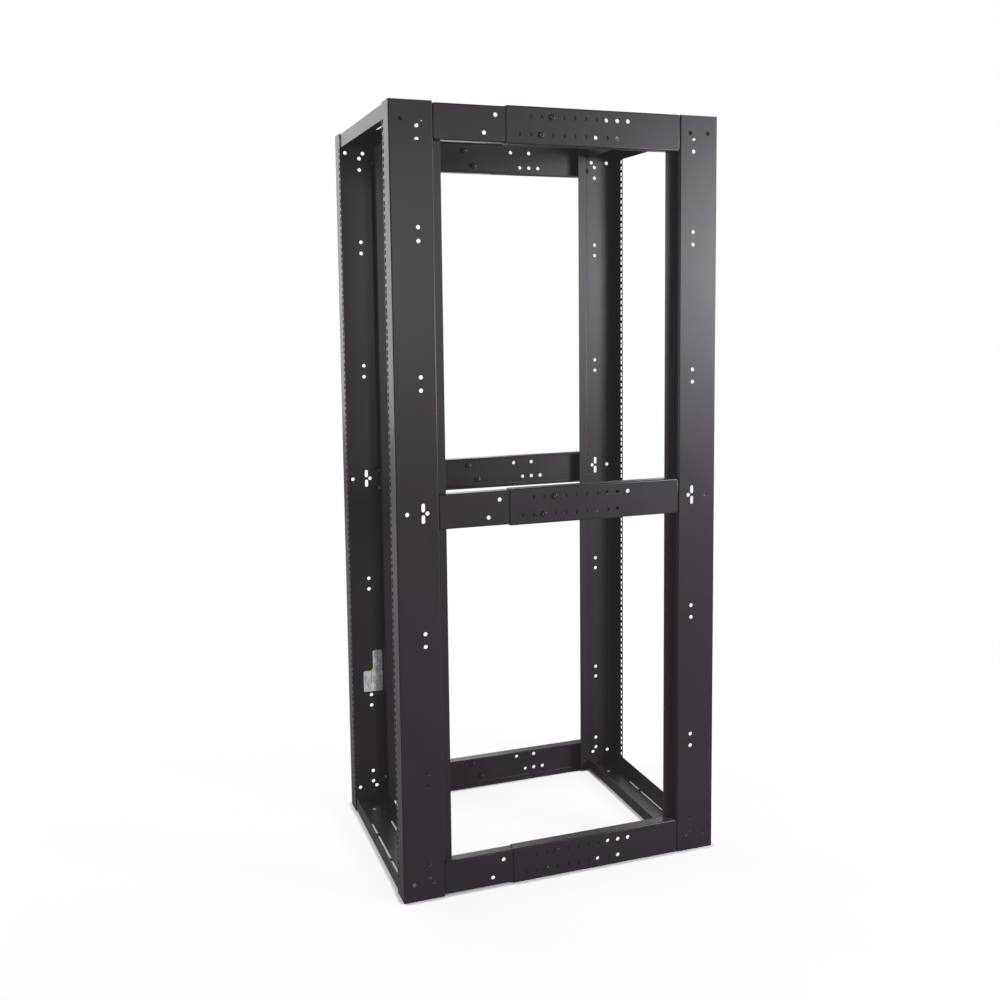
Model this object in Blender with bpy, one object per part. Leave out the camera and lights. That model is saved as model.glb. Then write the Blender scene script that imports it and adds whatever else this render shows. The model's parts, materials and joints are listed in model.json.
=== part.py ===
"""Open four-post equipment rack, 37 units tall, with side rails that telescope to set its depth.

Blender 4.5, metres, +Z up.  X runs across the rack, Y from front to rear, and the floor is Z = 0.
The front frame, the inner rails and their bolts stand still.  The rear frame and the sleeve rails
slide along Y as one body, under the empty "depth_slide".
"""

import math

import bmesh
import bpy
from mathutils import Matrix

# Rack-unit pattern: three square holes in each unit, symmetric about the unit's middle hole
RACK_UNITS = 37
UNIT_HEIGHT = 0.04445
UNIT_HOLE_STEP = 0.015875
PANEL_HOLE_SPACING = 0.4651
PANEL_HOLE_SIDE = 0.0095
PANEL_HOLE_EDGE = 0.00755

# Sheet metal and clearances
SHEET = 0.002
BEND_RADIUS = 0.001
TOUCH_GAP = 0.0003
CUT_OVERSHOOT = 0.003

# Posts
POST_END_MARGIN = 0.0337
POST_FACE_WIDTH = 0.055
POST_DEPTH = 0.0935
POST_RETURN = 0.0275
POST_LIP = 0.023
POST_HOLE_DIAMETER = 0.009
POST_CORNER_HOLE_END = 0.0385
POST_CORNER_HOLE_NEAR = 0.024
POST_CORNER_HOLE_FAR = 0.068
POST_ROW_DEPTH = 0.059
POST_END_PAIR = 0.065
POST_PAIR_SPACING = 0.028
POST_FIRST_PAIR = 0.275
POST_PAIR_STEP = 0.310
POST_SLOT_OFFSET = 0.0124
POST_SLOT_LENGTH = 0.0185
POST_SLOT_WIDTH = 0.008

# Crossbars
CROSSBAR_END_CLEARANCE = 0.001
CROSSBAR_OUTER_LIP = 0.0335
CROSSBAR_LIP_MARGIN = 0.012
SLOT_WIDTH = 0.006
SLOT_BRIDGE = 0.009
MIDDLE_SLOT_LENGTH = 0.130
END_SLOT_LENGTH = 0.062
SLOT_ROW_SPACING = 0.0485
ANCHOR_HOLE_DIAMETER = 0.012
ANCHOR_INSET = 0.061
ANCHOR_SCREW_DIAMETER = 0.006
ANCHOR_SCREW_SPAN_X = 0.0573
ANCHOR_SCREW_SPAN_Y = 0.0362

# Telescoping side rails
SLEEVE_HEIGHT = 0.080
SLEEVE_FLANGE = 0.0265
RAIL_HOLE_PITCH = 0.0254
RAIL_ROW_OFFSET = 0.019
SLEEVE_HOLES = 10
SLEEVE_FIRST_HOLE = 0.0272
SLEEVE_PLAIN_LENGTH = 0.1278
SLEEVE_BOLTED_HOLE = 3
INNER_PAIRS = 3
INNER_PAIR_PITCHES = 5
INNER_FIRST_HOLE = 0.1113
INNER_END_LENGTH = 0.0138
INNER_BOLTED_PAIR = 2
NOTCH_CLEARANCE = 0.001
TAB_CLEARANCE = 0.001
TAB_RELIEF = 0.004
TAB_HOLE_EDGE = 0.017
TAB_HOLE_MARGIN = 0.013

# Depth bolts and nuts
BOLT_DIAMETER = 0.008
BOLT_HOLE_CLEARANCE = 0.001
BOLT_HEAD_RIM = 0.003
BOLT_HEAD_HEIGHT = 0.0044
BOLT_HEAD_BEVEL = 0.0025
BOLT_THREAD_BEYOND_NUT = 0.002
NUT_WALL = 0.0025
NUT_HEIGHT = 0.0065

# Labels on the inside of the front left post
LABEL_THICKNESS = 0.0003
LABEL_EDGE_CLEARANCE = 0.0015
RATING_LABEL_SIZE = (0.051, 0.056)
RATING_LABEL_BASE = 0.294
SERIAL_LABEL_SIZE = (0.026, 0.052)
LABEL_SPACING = 0.001

# Worked out from the sizes above
RACK_HEIGHT = RACK_UNITS * UNIT_HEIGHT + 2 * POST_END_MARGIN
OPENING_WIDTH = PANEL_HOLE_SPACING - 2 * PANEL_HOLE_EDGE
RACK_WIDTH = OPENING_WIDTH + 2 * POST_FACE_WIDTH
SIDE_X = RACK_WIDTH / 2
RAIL_HOLE_DIAMETER = BOLT_DIAMETER + BOLT_HOLE_CLEARANCE
TAB_HOLE_OFFSET = SLEEVE_HEIGHT / 2 - TAB_HOLE_EDGE
TAB_HOLE_INSET = POST_RETURN - TAB_HOLE_MARGIN
CROSSBAR_INNER_LIP = TAB_HOLE_EDGE + CROSSBAR_LIP_MARGIN
SLEEVE_LENGTH = SLEEVE_FIRST_HOLE + SLEEVE_HOLES * RAIL_HOLE_PITCH + SLEEVE_PLAIN_LENGTH
SLEEVE_BOLTED_REACH = SLEEVE_LENGTH - SLEEVE_FIRST_HOLE - (SLEEVE_BOLTED_HOLE - 1) * RAIL_HOLE_PITCH
INNER_PAIR_STEP = INNER_PAIR_PITCHES * RAIL_HOLE_PITCH
INNER_BOLTED_HOLE = INNER_FIRST_HOLE + (INNER_BOLTED_PAIR - 1) * INNER_PAIR_STEP
INNER_LAST_HOLE = INNER_FIRST_HOLE + (INNER_PAIRS - 1) * INNER_PAIR_STEP + RAIL_HOLE_PITCH
INNER_RAIL_LENGTH = INNER_LAST_HOLE + INNER_END_LENGTH
RACK_DEPTH = 2 * (POST_DEPTH + TOUCH_GAP) + INNER_BOLTED_HOLE + SLEEVE_BOLTED_REACH
FACE_Y = RACK_DEPTH / 2
NEST_INSET = SHEET + TOUCH_GAP
CROSSBAR_DEPTH = POST_DEPTH - 2 * NEST_INSET
CROSSBAR_LENGTH = RACK_WIDTH - 2 * (SHEET + CROSSBAR_END_CLEARANCE)
INNER_RAIL_HEIGHT = SLEEVE_HEIGHT - 2 * NEST_INSET
INNER_RAIL_FLANGE = SLEEVE_FLANGE - NEST_INSET
RAIL_LEVELS = {
    "top": RACK_HEIGHT - SLEEVE_HEIGHT / 2,
    "middle": RACK_HEIGHT / 2,
    "bottom": SLEEVE_HEIGHT / 2,
}
SIDES = {"right": 1, "left": -1}
ROUND_SIDES = 8
ARC_STEPS = 2
SHARP_ANGLE = math.radians(50)

HALF_TURN = {axis: Matrix.Rotation(math.pi, 4, axis) for axis in "XYZ"}
UPRIGHT = Matrix.Identity(4)


def make_material(name, colour, roughness, metallic):
    material = bpy.data.materials.new(name)
    material.use_nodes = True
    material.diffuse_color = (*colour, 1)
    shader = material.node_tree.nodes["Principled BSDF"]
    shader.inputs["Base Color"].default_value = (*colour, 1)
    shader.inputs["Roughness"].default_value = roughness
    shader.inputs["Metallic"].default_value = metallic
    return material


def make_object(name, mesh, material, place=UPRIGHT, parent=None):
    """A named object at a world place, kept there when it hangs under a parent empty."""
    mesh.name = name
    mesh.materials.append(material)
    mesh.shade_smooth()
    mesh.set_sharp_from_angle(angle=SHARP_ANGLE)
    item = bpy.data.objects.new(name, mesh)
    bpy.context.scene.collection.objects.link(item)
    item.parent = parent
    if parent:
        place = Matrix.Translation(-parent.location) @ place
    item.matrix_basis = place
    return item


def finish_mesh(shape, name):
    bmesh.ops.recalc_face_normals(shape, faces=shape.faces)
    mesh = bpy.data.meshes.new(name)
    shape.to_mesh(mesh)
    shape.free()
    return mesh


def add_prism(shape, outline, start, end, place):
    """A straight prism: outline(u, v) goes from start to end, and place(u, v, w) gives each corner."""
    low = [shape.verts.new(place(u, v, start)) for u, v in outline]
    high = [shape.verts.new(place(u, v, end)) for u, v in outline]
    shape.faces.new(low[::-1])
    shape.faces.new(high)
    for i, vert in enumerate(low):
        following = (i + 1) % len(low)
        shape.faces.new((vert, low[following], high[following], high[i]))


def along_x(u, v, w):
    return (w, u, v)


def along_y(u, v, w):
    return (u, w, v)


def along_z(u, v, w):
    return (u, v, w)


def round_outline(centre, diameter, sides=ROUND_SIDES):
    step = 2 * math.pi / sides
    radius = diameter / 2
    angles = [(i + 0.5) * step for i in range(sides)]
    return [(centre[0] + radius * math.cos(a), centre[1] + radius * math.sin(a)) for a in angles]


def slot_outline(centre, length, width, upright=False):
    """A slot with rounded ends, along the first axis or, when upright, along the second."""
    reach = (length - width) / 2
    quarter = ROUND_SIDES // 2
    points = []
    for end in (1, -1):
        for i in range(quarter):
            angle = (i + 0.5) * math.pi / quarter - end * math.pi / 2
            along = end * reach + width / 2 * math.cos(angle)
            points.append((along, width / 2 * math.sin(angle)))
    if upright:
        points = [(-across, along) for along, across in points]
    return [(centre[0] + a, centre[1] + b) for a, b in points]


def box_outline(low, high):
    return [low, (high[0], low[1]), high, (low[0], high[1])]


def folded_outline(path):
    """The section of a bent sheet whose middle line is the path, with an arc at each bend."""
    near_side = []
    far_side = []
    for i, (x, y) in enumerate(path):
        before = direction(path[max(i - 1, 0)], path[max(i, 1)])
        after = direction(path[min(i, len(path) - 2)], path[min(i + 1, len(path) - 1)])
        turn = before[0] * after[1] - before[1] * after[0]
        if abs(turn) < 0.5:
            near_side.append((x - before[1] * SHEET / 2, y + before[0] * SHEET / 2))
            far_side.append((x + before[1] * SHEET / 2, y - before[0] * SHEET / 2))
            continue
        side = math.copysign(1, turn)
        reach = BEND_RADIUS + SHEET / 2
        centre = (x + reach * (after[0] - before[0]), y + reach * (after[1] - before[1]))
        start = math.atan2(-side * before[0], side * before[1])
        for step in range(ARC_STEPS + 1):
            angle = start + side * step / ARC_STEPS * math.pi / 2
            arm = (math.cos(angle), math.sin(angle))
            inside = (centre[0] + BEND_RADIUS * arm[0], centre[1] + BEND_RADIUS * arm[1])
            outside = (
                centre[0] + (BEND_RADIUS + SHEET) * arm[0],
                centre[1] + (BEND_RADIUS + SHEET) * arm[1],
            )
            near_side.append(inside if side > 0 else outside)
            far_side.append(outside if side > 0 else inside)
    return near_side + far_side[::-1]


def direction(start, end):
    length = math.hypot(end[0] - start[0], end[1] - start[1])
    return ((end[0] - start[0]) / length, (end[1] - start[1]) / length)


def combine(mesh, other, operation):
    """The mesh after a Boolean with another shape, which is used up."""
    body = bpy.data.objects.new("body", mesh)
    tool = bpy.data.objects.new("tool", finish_mesh(other, "tool"))
    for item in (body, tool):
        bpy.context.scene.collection.objects.link(item)
    modifier = body.modifiers.new(operation.lower(), "BOOLEAN")
    modifier.operation = operation
    modifier.solver = "EXACT"
    modifier.object = tool
    graph = bpy.context.evaluated_depsgraph_get()
    result = bpy.data.meshes.new_from_object(body.evaluated_get(graph))
    for item in (body, tool):
        used = item.data
        bpy.data.objects.remove(item)
        bpy.data.meshes.remove(used)
    return result


def mirrored_heights(heights):
    return [sign * height for height in heights for sign in (1, -1)]


def post_web_cutters(holes):
    """Round holes and slots through the wide web, mirrored about the post's middle height."""

    def drill(depth, height, diameter=POST_HOLE_DIAMETER):
        outline = round_outline((depth, height), diameter)
        add_prism(holes, outline, -SHEET - CUT_OVERSHOOT, CUT_OVERSHOOT, along_x)

    half = RACK_HEIGHT / 2
    for depth in (POST_CORNER_HOLE_NEAR, POST_CORNER_HOLE_FAR):
        for height in mirrored_heights([half - POST_CORNER_HOLE_END]):
            drill(depth, height)
        drill(depth, 0)
    for middle in (half - POST_END_PAIR, POST_FIRST_PAIR + POST_PAIR_STEP, POST_FIRST_PAIR):
        pair = [middle - POST_PAIR_SPACING / 2, middle + POST_PAIR_SPACING / 2]
        for height in mirrored_heights(pair):
            drill(POST_ROW_DEPTH, height)
    for height in mirrored_heights([POST_SLOT_OFFSET]):
        outline = slot_outline((POST_ROW_DEPTH, height), POST_SLOT_LENGTH, POST_SLOT_WIDTH, upright=True)
        add_prism(holes, outline, -SHEET - CUT_OVERSHOOT, CUT_OVERSHOOT, along_x)


def post_face_cutters(holes):
    """The rack-unit column of square holes through the outer face."""
    column = PANEL_HOLE_SPACING / 2 - SIDE_X
    half = PANEL_HOLE_SIDE / 2
    for unit in range(RACK_UNITS):
        middle = (unit + 0.5 - RACK_UNITS / 2) * UNIT_HEIGHT
        for height in (middle - UNIT_HOLE_STEP, middle, middle + UNIT_HOLE_STEP):
            outline = box_outline((column - half, height - half), (column + half, height + half))
            add_prism(holes, outline, -CUT_OVERSHOOT, SHEET + CUT_OVERSHOOT, along_y)


def post_return_cutters(holes):
    """Bolt holes through the return flange for the tabs of the three side rails."""
    start = POST_DEPTH - SHEET - CUT_OVERSHOOT
    end = POST_DEPTH + CUT_OVERSHOOT
    for level in RAIL_LEVELS.values():
        for height in mirrored_heights([TAB_HOLE_OFFSET]):
            centre = (-TAB_HOLE_INSET, level - RACK_HEIGHT / 2 + height)
            add_prism(holes, round_outline(centre, RAIL_HOLE_DIAMETER), start, end, along_y)


def post_mesh():
    """One post about its mid height: outer corner at the origin, web along +Y, face along -X."""
    middle = SHEET / 2
    path = [
        (-POST_FACE_WIDTH, middle),
        (-middle, middle),
        (-middle, POST_DEPTH - middle),
        (-POST_RETURN + middle, POST_DEPTH - middle),
        (-POST_RETURN + middle, POST_DEPTH + POST_LIP),
    ]
    shape = bmesh.new()
    add_prism(shape, folded_outline(path), -RACK_HEIGHT / 2, RACK_HEIGHT / 2, along_z)
    holes = bmesh.new()
    post_web_cutters(holes)
    post_face_cutters(holes)
    post_return_cutters(holes)
    return combine(finish_mesh(shape, "post"), holes, "DIFFERENCE")


def crossbar_slot_cutters(holes):
    """Two rows of long slots through the plate, each a middle slot between two shorter ones."""
    end_slot = MIDDLE_SLOT_LENGTH / 2 + SLOT_BRIDGE + END_SLOT_LENGTH / 2
    slots = [(0, MIDDLE_SLOT_LENGTH), (-end_slot, END_SLOT_LENGTH), (end_slot, END_SLOT_LENGTH)]
    for row in (-SLOT_ROW_SPACING / 2, SLOT_ROW_SPACING / 2):
        for middle, length in slots:
            outline = slot_outline((middle, CROSSBAR_DEPTH / 2 + row), length, SLOT_WIDTH)
            add_prism(holes, outline, -CUT_OVERSHOOT, SHEET + CUT_OVERSHOOT, along_z)


def crossbar_anchor_cutters(holes):
    """A floor-anchor hole and four screw holes around it near each end of the plate."""
    for side in SIDES.values():
        anchor = (side * (SIDE_X - ANCHOR_INSET), CROSSBAR_DEPTH / 2)
        outlines = [round_outline(anchor, ANCHOR_HOLE_DIAMETER)]
        for across in (-ANCHOR_SCREW_SPAN_X / 2, ANCHOR_SCREW_SPAN_X / 2):
            for along in (-ANCHOR_SCREW_SPAN_Y / 2, ANCHOR_SCREW_SPAN_Y / 2):
                centre = (anchor[0] + across, anchor[1] + along)
                outlines.append(round_outline(centre, ANCHOR_SCREW_DIAMETER))
        for outline in outlines:
            add_prism(holes, outline, -CUT_OVERSHOOT, SHEET + CUT_OVERSHOOT, along_z)


def crossbar_lip_cutters(holes):
    """Holes in the inner lip for the tab bolts of the side rails beside it."""
    for side in SIDES.values():
        centre = (side * (SIDE_X - TAB_HOLE_INSET), TAB_HOLE_EDGE)
        outline = round_outline(centre, RAIL_HOLE_DIAMETER)
        start = CROSSBAR_DEPTH - SHEET - CUT_OVERSHOOT
        add_prism(holes, outline, start, CROSSBAR_DEPTH + CUT_OVERSHOOT, along_y)


def crossbar_mesh(anchored):
    """One crossbar, lips up: outer lip at Y = 0, plate on Z = 0, centred on X = 0."""
    middle = SHEET / 2
    path = [
        (middle, CROSSBAR_OUTER_LIP),
        (middle, middle),
        (CROSSBAR_DEPTH - middle, middle),
        (CROSSBAR_DEPTH - middle, CROSSBAR_INNER_LIP),
    ]
    shape = bmesh.new()
    add_prism(shape, folded_outline(path), -CROSSBAR_LENGTH / 2, CROSSBAR_LENGTH / 2, along_x)
    holes = bmesh.new()
    crossbar_slot_cutters(holes)
    crossbar_lip_cutters(holes)
    if anchored:
        crossbar_anchor_cutters(holes)
    return combine(finish_mesh(shape, "crossbar"), holes, "DIFFERENCE")


def rail_channel(height, flange, length, way):
    """A channel rail: web outer face at X = 0, flanges along -X, post end at Y = 0."""
    middle = SHEET / 2
    half = height / 2
    path = [
        (-flange, half - middle),
        (-middle, half - middle),
        (-middle, middle - half),
        (-flange, middle - half),
    ]
    shape = bmesh.new()
    add_prism(shape, folded_outline(path), 0, way * length, along_y)
    return finish_mesh(shape, "rail")


def rail_notch(height, flange, way):
    """Both flanges cut back at the post end, to clear the post's lip."""
    shape = bmesh.new()
    bend = SHEET + BEND_RADIUS
    end = way * (POST_LIP + NOTCH_CLEARANCE)
    for side in (1, -1):
        low = (-flange - CUT_OVERSHOOT, side * (height / 2 - bend))
        high = (-bend, side * (height / 2 + CUT_OVERSHOOT))
        add_prism(shape, box_outline(low, high), -way * CUT_OVERSHOOT, end, along_y)
    return shape


def rail_tab(height, web_inset, way):
    """The tab bent across the post end of a rail, up to just short of the post's lip."""
    shape = bmesh.new()
    half = height / 2 - TAB_RELIEF
    reach = POST_RETURN - SHEET - TAB_CLEARANCE - web_inset
    outline = box_outline((-reach, -half), (-SHEET / 2, half))
    add_prism(shape, outline, 0, way * SHEET, along_y)
    return shape


def rail_cutters(web_inset, way, row_holes):
    """Row holes through the web, and the two bolt holes through the tab."""
    holes = bmesh.new()
    for distance, height in row_holes:
        outline = round_outline((way * distance, height), RAIL_HOLE_DIAMETER)
        add_prism(holes, outline, -SHEET - CUT_OVERSHOOT, CUT_OVERSHOOT, along_x)
    for height in mirrored_heights([TAB_HOLE_OFFSET]):
        outline = round_outline((web_inset - TAB_HOLE_INSET, height), RAIL_HOLE_DIAMETER)
        add_prism(holes, outline, -way * CUT_OVERSHOOT, way * (SHEET + CUT_OVERSHOOT), along_y)
    return holes


def rail_mesh(height, flange, length, web_inset, way, row_holes):
    mesh = rail_channel(height, flange, length, way)
    mesh = combine(mesh, rail_notch(height, flange, way), "DIFFERENCE")
    mesh = combine(mesh, rail_tab(height, web_inset, way), "UNION")
    return combine(mesh, rail_cutters(web_inset, way, row_holes), "DIFFERENCE")


def inner_rail_mesh():
    """The rail on the front post.  Its lower row lies one hole pitch nearer to the post."""
    row_holes = []
    for pair in range(INNER_PAIRS):
        distance = INNER_FIRST_HOLE + pair * INNER_PAIR_STEP
        row_holes.append((distance, -RAIL_ROW_OFFSET))
        row_holes.append((distance + RAIL_HOLE_PITCH, RAIL_ROW_OFFSET))
    return rail_mesh(INNER_RAIL_HEIGHT, INNER_RAIL_FLANGE, INNER_RAIL_LENGTH, NEST_INSET, 1, row_holes)


def sleeve_rail_mesh():
    """The rail on the rear post, with two rows of holes counted from its free front end."""
    row_holes = []
    for index in range(SLEEVE_HOLES):
        distance = SLEEVE_LENGTH - SLEEVE_FIRST_HOLE - index * RAIL_HOLE_PITCH
        row_holes.append((distance, -RAIL_ROW_OFFSET))
        row_holes.append((distance - RAIL_HOLE_PITCH, RAIL_ROW_OFFSET))
    return rail_mesh(SLEEVE_HEIGHT, SLEEVE_FLANGE, SLEEVE_LENGTH, 0, -1, row_holes)


def add_ring(shape, radius, x):
    """A ring of corners around the X axis."""
    return [shape.verts.new((x, u, v)) for u, v in round_outline((0, 0), 2 * radius)]


def join_rings(shape, first, second):
    for i, vert in enumerate(first):
        following = (i + 1) % len(first)
        shape.faces.new((vert, first[following], second[following], second[i]))


def bolt_mesh():
    """A button-head bolt along -X, with the underside of its head at X = 0."""
    grip = 2 * SHEET + 3 * TOUCH_GAP
    stem = grip + NUT_HEIGHT + BOLT_THREAD_BEYOND_NUT
    head = BOLT_DIAMETER / 2 + BOLT_HEAD_RIM
    profile = [
        (-stem, BOLT_DIAMETER / 2),
        (0, BOLT_DIAMETER / 2),
        (0, head),
        (BOLT_HEAD_HEIGHT, head - BOLT_HEAD_BEVEL),
    ]
    shape = bmesh.new()
    rings = [add_ring(shape, radius, x) for x, radius in profile]
    for first, second in zip(rings, rings[1:]):
        join_rings(shape, first, second)
    shape.faces.new(rings[0])
    shape.faces.new(rings[-1])
    return finish_mesh(shape, "bolt")


def nut_mesh():
    """A hexagon nut along -X, with its seating face at X = 0."""
    shape = bmesh.new()
    outline = round_outline((0, 0), (BOLT_DIAMETER + 2 * NUT_WALL) / math.cos(math.pi / 6), 6)
    add_prism(shape, outline, -NUT_HEIGHT, 0, along_x)
    bore = bmesh.new()
    outline = round_outline((0, 0), BOLT_DIAMETER + 2 * TOUCH_GAP)
    add_prism(bore, outline, -NUT_HEIGHT - CUT_OVERSHOOT, CUT_OVERSHOOT, along_x)
    return combine(finish_mesh(shape, "nut"), bore, "DIFFERENCE")


def label_mesh(size):
    """A thin label standing on Z = 0, its back on X = 0 and its inner edge at Y = 0."""
    shape = bmesh.new()
    outline = [(-size[0], 0), (0, 0), (0, size[1]), (-size[0], size[1])]
    add_prism(shape, outline, 0, LABEL_THICKNESS, along_x)
    return finish_mesh(shape, "label")


def add_posts(black, slide):
    """Four posts that are one part, turned half a turn about a different axis each time."""
    mesh = post_mesh()
    turns = {
        ("front", "right"): UPRIGHT,
        ("front", "left"): HALF_TURN["Y"],
        ("rear", "right"): HALF_TURN["X"],
        ("rear", "left"): HALF_TURN["Z"],
    }
    for (end, side), turn in turns.items():
        face = -FACE_Y if end == "front" else FACE_Y
        corner = Matrix.Translation((SIDES[side] * SIDE_X, face, RACK_HEIGHT / 2))
        parent = slide if end == "rear" else None
        make_object(f"{end}_post_{side}", mesh.copy(), black, corner @ turn, parent)


def add_crossbars(black, slide):
    """Four crossbars nested between the posts, lips towards the middle height of the rack."""
    meshes = {"top": crossbar_mesh(anchored=False), "bottom": crossbar_mesh(anchored=True)}
    turns = {
        ("front", "bottom"): UPRIGHT,
        ("front", "top"): HALF_TURN["Y"],
        ("rear", "bottom"): HALF_TURN["Z"],
        ("rear", "top"): HALF_TURN["X"],
    }
    for (end, level), turn in turns.items():
        face = NEST_INSET - FACE_Y if end == "front" else FACE_Y - NEST_INSET
        height = RACK_HEIGHT if level == "top" else 0
        parent = slide if end == "rear" else None
        place = Matrix.Translation((0, face, height)) @ turn
        make_object(f"{end}_crossbar_{level}", meshes[level].copy(), black, place, parent)


def side_turn(side):
    """A left-hand rail is the right-hand one, turned half a turn about the depth axis."""
    return UPRIGHT if side == "right" else HALF_TURN["Y"]


def add_rails(black, slide):
    """Three inner rails and three sleeves on each side."""
    inner = inner_rail_mesh()
    sleeve = sleeve_rail_mesh()
    post_end = FACE_Y - POST_DEPTH - TOUCH_GAP
    for side, sign in SIDES.items():
        for level, height in RAIL_LEVELS.items():
            turn = side_turn(side)
            place = Matrix.Translation((sign * (SIDE_X - NEST_INSET), -post_end, height)) @ turn
            make_object(f"inner_rail_{side}_{level}", inner.copy(), black, place)
            place = Matrix.Translation((sign * SIDE_X, post_end, height)) @ turn
            make_object(f"sleeve_rail_{side}_{level}", sleeve.copy(), black, place, slide)


def add_depth_fasteners(steel):
    """Two bolts and nuts lock each sleeve to the middle hole pair of its inner rail."""
    bolt = bolt_mesh()
    nut = nut_mesh()
    lower = POST_DEPTH + TOUCH_GAP + INNER_BOLTED_HOLE - FACE_Y
    rows = {"a": (lower + RAIL_HOLE_PITCH, RAIL_ROW_OFFSET), "b": (lower, -RAIL_ROW_OFFSET)}
    nut_seat = 2 * SHEET + 2 * TOUCH_GAP
    for side, sign in SIDES.items():
        for level, height in RAIL_LEVELS.items():
            for row, (depth, offset) in rows.items():
                where = (depth, height + sign * offset)
                head = Matrix.Translation((sign * (SIDE_X + TOUCH_GAP), *where)) @ side_turn(side)
                make_object(f"depth_bolt_{side}_{level}_{row}", bolt.copy(), steel, head)
                seat = Matrix.Translation((sign * (SIDE_X - nut_seat), *where)) @ side_turn(side)
                make_object(f"depth_nut_{side}_{level}_{row}", nut.copy(), steel, seat)


def add_labels(silver):
    """A rating label with a smaller serial label above it, inside the front left post."""
    back = TOUCH_GAP + SHEET - SIDE_X
    edge = POST_DEPTH - SHEET - LABEL_EDGE_CLEARANCE - FACE_Y
    place = Matrix.Translation((back, edge, RATING_LABEL_BASE))
    make_object("rating_label", label_mesh(RATING_LABEL_SIZE), silver, place)
    height = RATING_LABEL_BASE + RATING_LABEL_SIZE[1] + LABEL_SPACING
    place = Matrix.Translation((back, edge, height))
    make_object("serial_label", label_mesh(SERIAL_LABEL_SIZE), silver, place)


def add_slide_empty():
    empty = bpy.data.objects.new("depth_slide", None)
    empty.location = (0, FACE_Y, RACK_HEIGHT / 2)
    bpy.context.scene.collection.objects.link(empty)
    return empty


def clear_scene():
    for item in list(bpy.data.objects):
        bpy.data.objects.remove(item, do_unlink=True)


def main():
    clear_scene()
    black = make_material("black_powder_coat", (0.046, 0.044, 0.048), 0.5, 0.0)
    steel = make_material("black_zinc_fastener", (0.03, 0.029, 0.03), 0.38, 0.6)
    silver = make_material("silver_label", (0.55, 0.56, 0.56), 0.45, 0.1)
    slide = add_slide_empty()
    add_posts(black, slide)
    add_crossbars(black, slide)
    add_rails(black, slide)
    add_depth_fasteners(steel)
    add_labels(silver)


main()
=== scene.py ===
"""Looks for the open four-post equipment rack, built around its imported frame.

Metres, +Z up, in the frame's own axes: X runs across the rack, Y from front to rear.  Each sheet-metal
piece is rebuilt with round holes, real bends and broken edges, and stands for its CAD node.  The bolts
and nuts that hold the side rails to the posts, and a small round sticker, are added here, because the CAD
leaves them out.
"""

import json
import math

import bmesh
import bpy
from mathutils import Matrix, Vector


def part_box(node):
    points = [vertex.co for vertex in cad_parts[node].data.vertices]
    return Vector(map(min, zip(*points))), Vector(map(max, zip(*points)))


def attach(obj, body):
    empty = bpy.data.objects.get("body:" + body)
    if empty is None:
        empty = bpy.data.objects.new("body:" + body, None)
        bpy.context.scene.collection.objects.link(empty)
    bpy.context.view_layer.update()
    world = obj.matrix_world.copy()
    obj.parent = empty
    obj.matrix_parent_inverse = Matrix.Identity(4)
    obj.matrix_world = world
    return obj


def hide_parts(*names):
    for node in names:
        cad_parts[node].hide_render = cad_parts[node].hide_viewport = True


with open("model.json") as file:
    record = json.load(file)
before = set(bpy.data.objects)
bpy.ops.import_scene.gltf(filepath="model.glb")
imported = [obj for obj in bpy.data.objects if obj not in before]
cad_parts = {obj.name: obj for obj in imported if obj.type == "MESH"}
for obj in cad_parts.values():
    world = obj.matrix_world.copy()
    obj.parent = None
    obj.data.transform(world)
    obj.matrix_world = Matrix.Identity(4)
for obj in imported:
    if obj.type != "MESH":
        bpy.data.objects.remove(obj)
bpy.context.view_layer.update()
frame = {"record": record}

# Camera, fitted to the photograph's view of the rack
CAMERA_PLACE = Vector((2.6273, -0.9443, 1.2876))
CAMERA_AZIMUTH = math.radians(69.33)
CAMERA_PITCH = math.radians(5.96)
CAMERA_ROLL = math.radians(-0.449)
CAMERA_LENS = 41.67
CAMERA_SENSOR = 36.0
CAMERA_SHIFT = (-0.0381, -0.0713)
CAMERA_NEAR = 0.05

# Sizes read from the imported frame
POST_LOW, POST_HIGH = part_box("front_post_right")
CROSSBAR_LOW, CROSSBAR_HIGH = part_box("front_crossbar_bottom")
SLEEVE_LOW, SLEEVE_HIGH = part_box("sleeve_rail_right_bottom")
INNER_LOW, INNER_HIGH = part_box("inner_rail_right_bottom")
BOLT_LOW, BOLT_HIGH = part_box("depth_bolt_right_bottom_a")
RACK_HEIGHT = POST_HIGH.z
SIDE_X = POST_HIGH.x
FACE_Y = -POST_LOW.y
POST_FACE_WIDTH = POST_HIGH.x - POST_LOW.x
CROSSBAR_LENGTH = CROSSBAR_HIGH.x - CROSSBAR_LOW.x
CROSSBAR_DEPTH = CROSSBAR_HIGH.y - CROSSBAR_LOW.y
CROSSBAR_OUTER_LIP = CROSSBAR_HIGH.z
NEST_INSET = CROSSBAR_LOW.y - POST_LOW.y
RAIL_END = INNER_LOW.y - POST_LOW.y
SLEEVE_HEIGHT = SLEEVE_HIGH.z - SLEEVE_LOW.z
SLEEVE_FLANGE = SLEEVE_HIGH.x - SLEEVE_LOW.x
SLEEVE_LENGTH = SLEEVE_HIGH.y - SLEEVE_LOW.y
INNER_RAIL_HEIGHT = INNER_HIGH.z - INNER_LOW.z
INNER_RAIL_FLANGE = INNER_HIGH.x - INNER_LOW.x
INNER_RAIL_LENGTH = INNER_HIGH.y - INNER_LOW.y

# Rack-unit pattern
RACK_UNITS = 37
UNIT_HEIGHT = 0.04445
UNIT_HOLE_STEP = 0.015875
PANEL_HOLE_SPACING = 0.4651
PANEL_HOLE_SIDE = 0.0095
PANEL_HOLE_CORNER = 0.0006

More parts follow.
